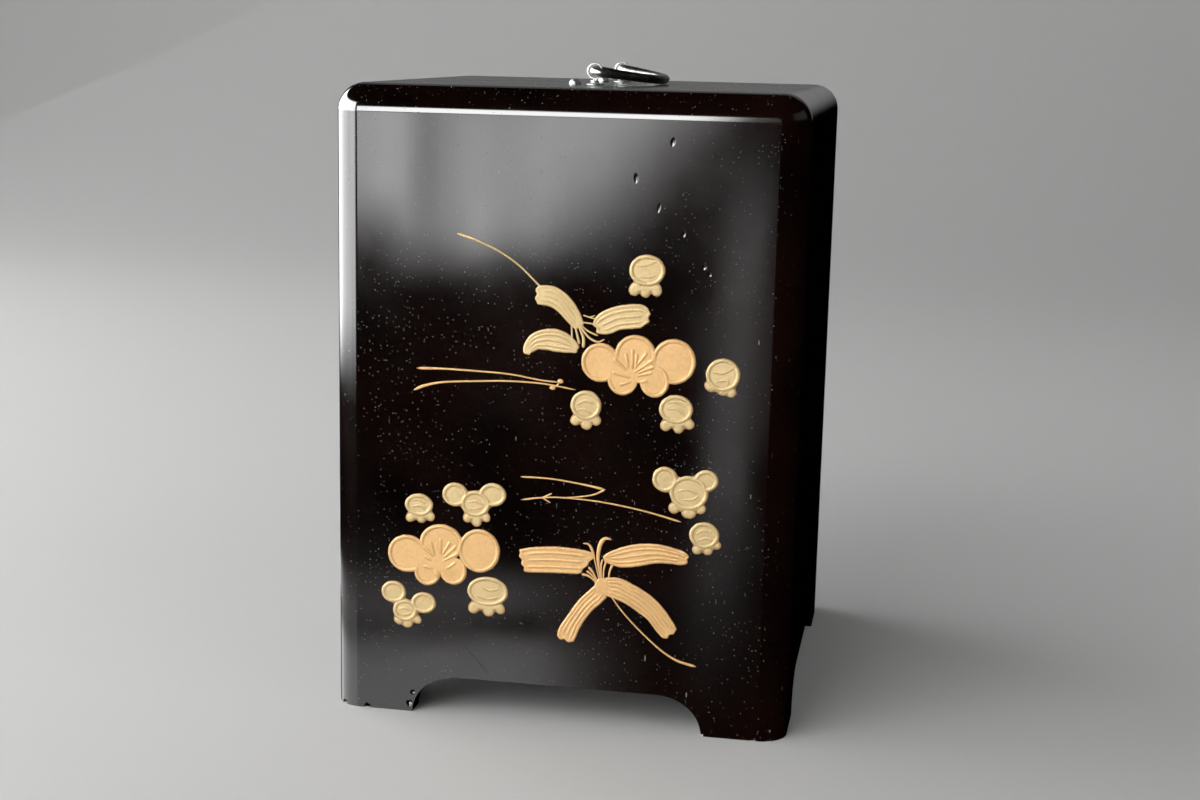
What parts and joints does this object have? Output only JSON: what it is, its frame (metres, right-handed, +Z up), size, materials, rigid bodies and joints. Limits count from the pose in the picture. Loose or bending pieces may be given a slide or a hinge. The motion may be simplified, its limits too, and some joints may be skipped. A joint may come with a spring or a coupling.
{
  "type": "lacquered box",
  "caption": "Upright lacquered box with raised gold flowers, bracket feet, a lift-out side panel and a drop handle on top.",
  "frame": {"origin": "middle of the plan, on the floor that the feet stand on", "axes": "+Z up, -Y out of the flowered face, -X out of the side with the lift-out panel"},
  "size_m": [0.176, 0.1766, 0.2484],
  "materials": {
    "lacquer": "black-brown lacquer on wood, polished to a mirror gloss",
    "metal": "dark patinated wire and bar, worn bright on the high places",
    "gold": "raised lacquer under gold powder, satin",
    "pale_gold": "raised lacquer under paler gold powder, satin"
  },
  "bodies": {
    "box": {"carcass": "lacquer", "cup_back": "metal", "cup_front": "metal", "eyelet_back": "metal", "eyelet_front": "metal", "gold_blossom_lower": "gold", "gold_blossom_upper": "gold", "gold_bud_lower_left": "pale_gold", "gold_bud_lower_middle": "pale_gold", "gold_bud_lower_right": "pale_gold", "gold_bud_upper_left": "pale_gold", "gold_bud_upper_middle": "pale_gold", "gold_bud_upper_right": "pale_gold", "gold_bud_upper_top": "pale_gold", "gold_half_flower_left": "pale_gold", "gold_half_flower_middle": "pale_gold", "gold_half_flower_right": "pale_gold", "gold_spray_lower": "gold", "gold_spray_upper": "gold", "gold_stem_fork": "gold", "gold_stem_lower": "gold", "gold_stem_upper": "gold", "lift_panel": "lacquer", "nail_back": "metal", "nail_front": "metal"},
    "handle": {"bail": "metal"}
  },
  "joints": [
    {"name": "handle_hinge", "type": "hinge", "parent": "box", "child": "handle", "pos_m": [0, 0, 0.2452], "axis": [0, -1, 0], "range_deg": [0, 163]}
  ]
}
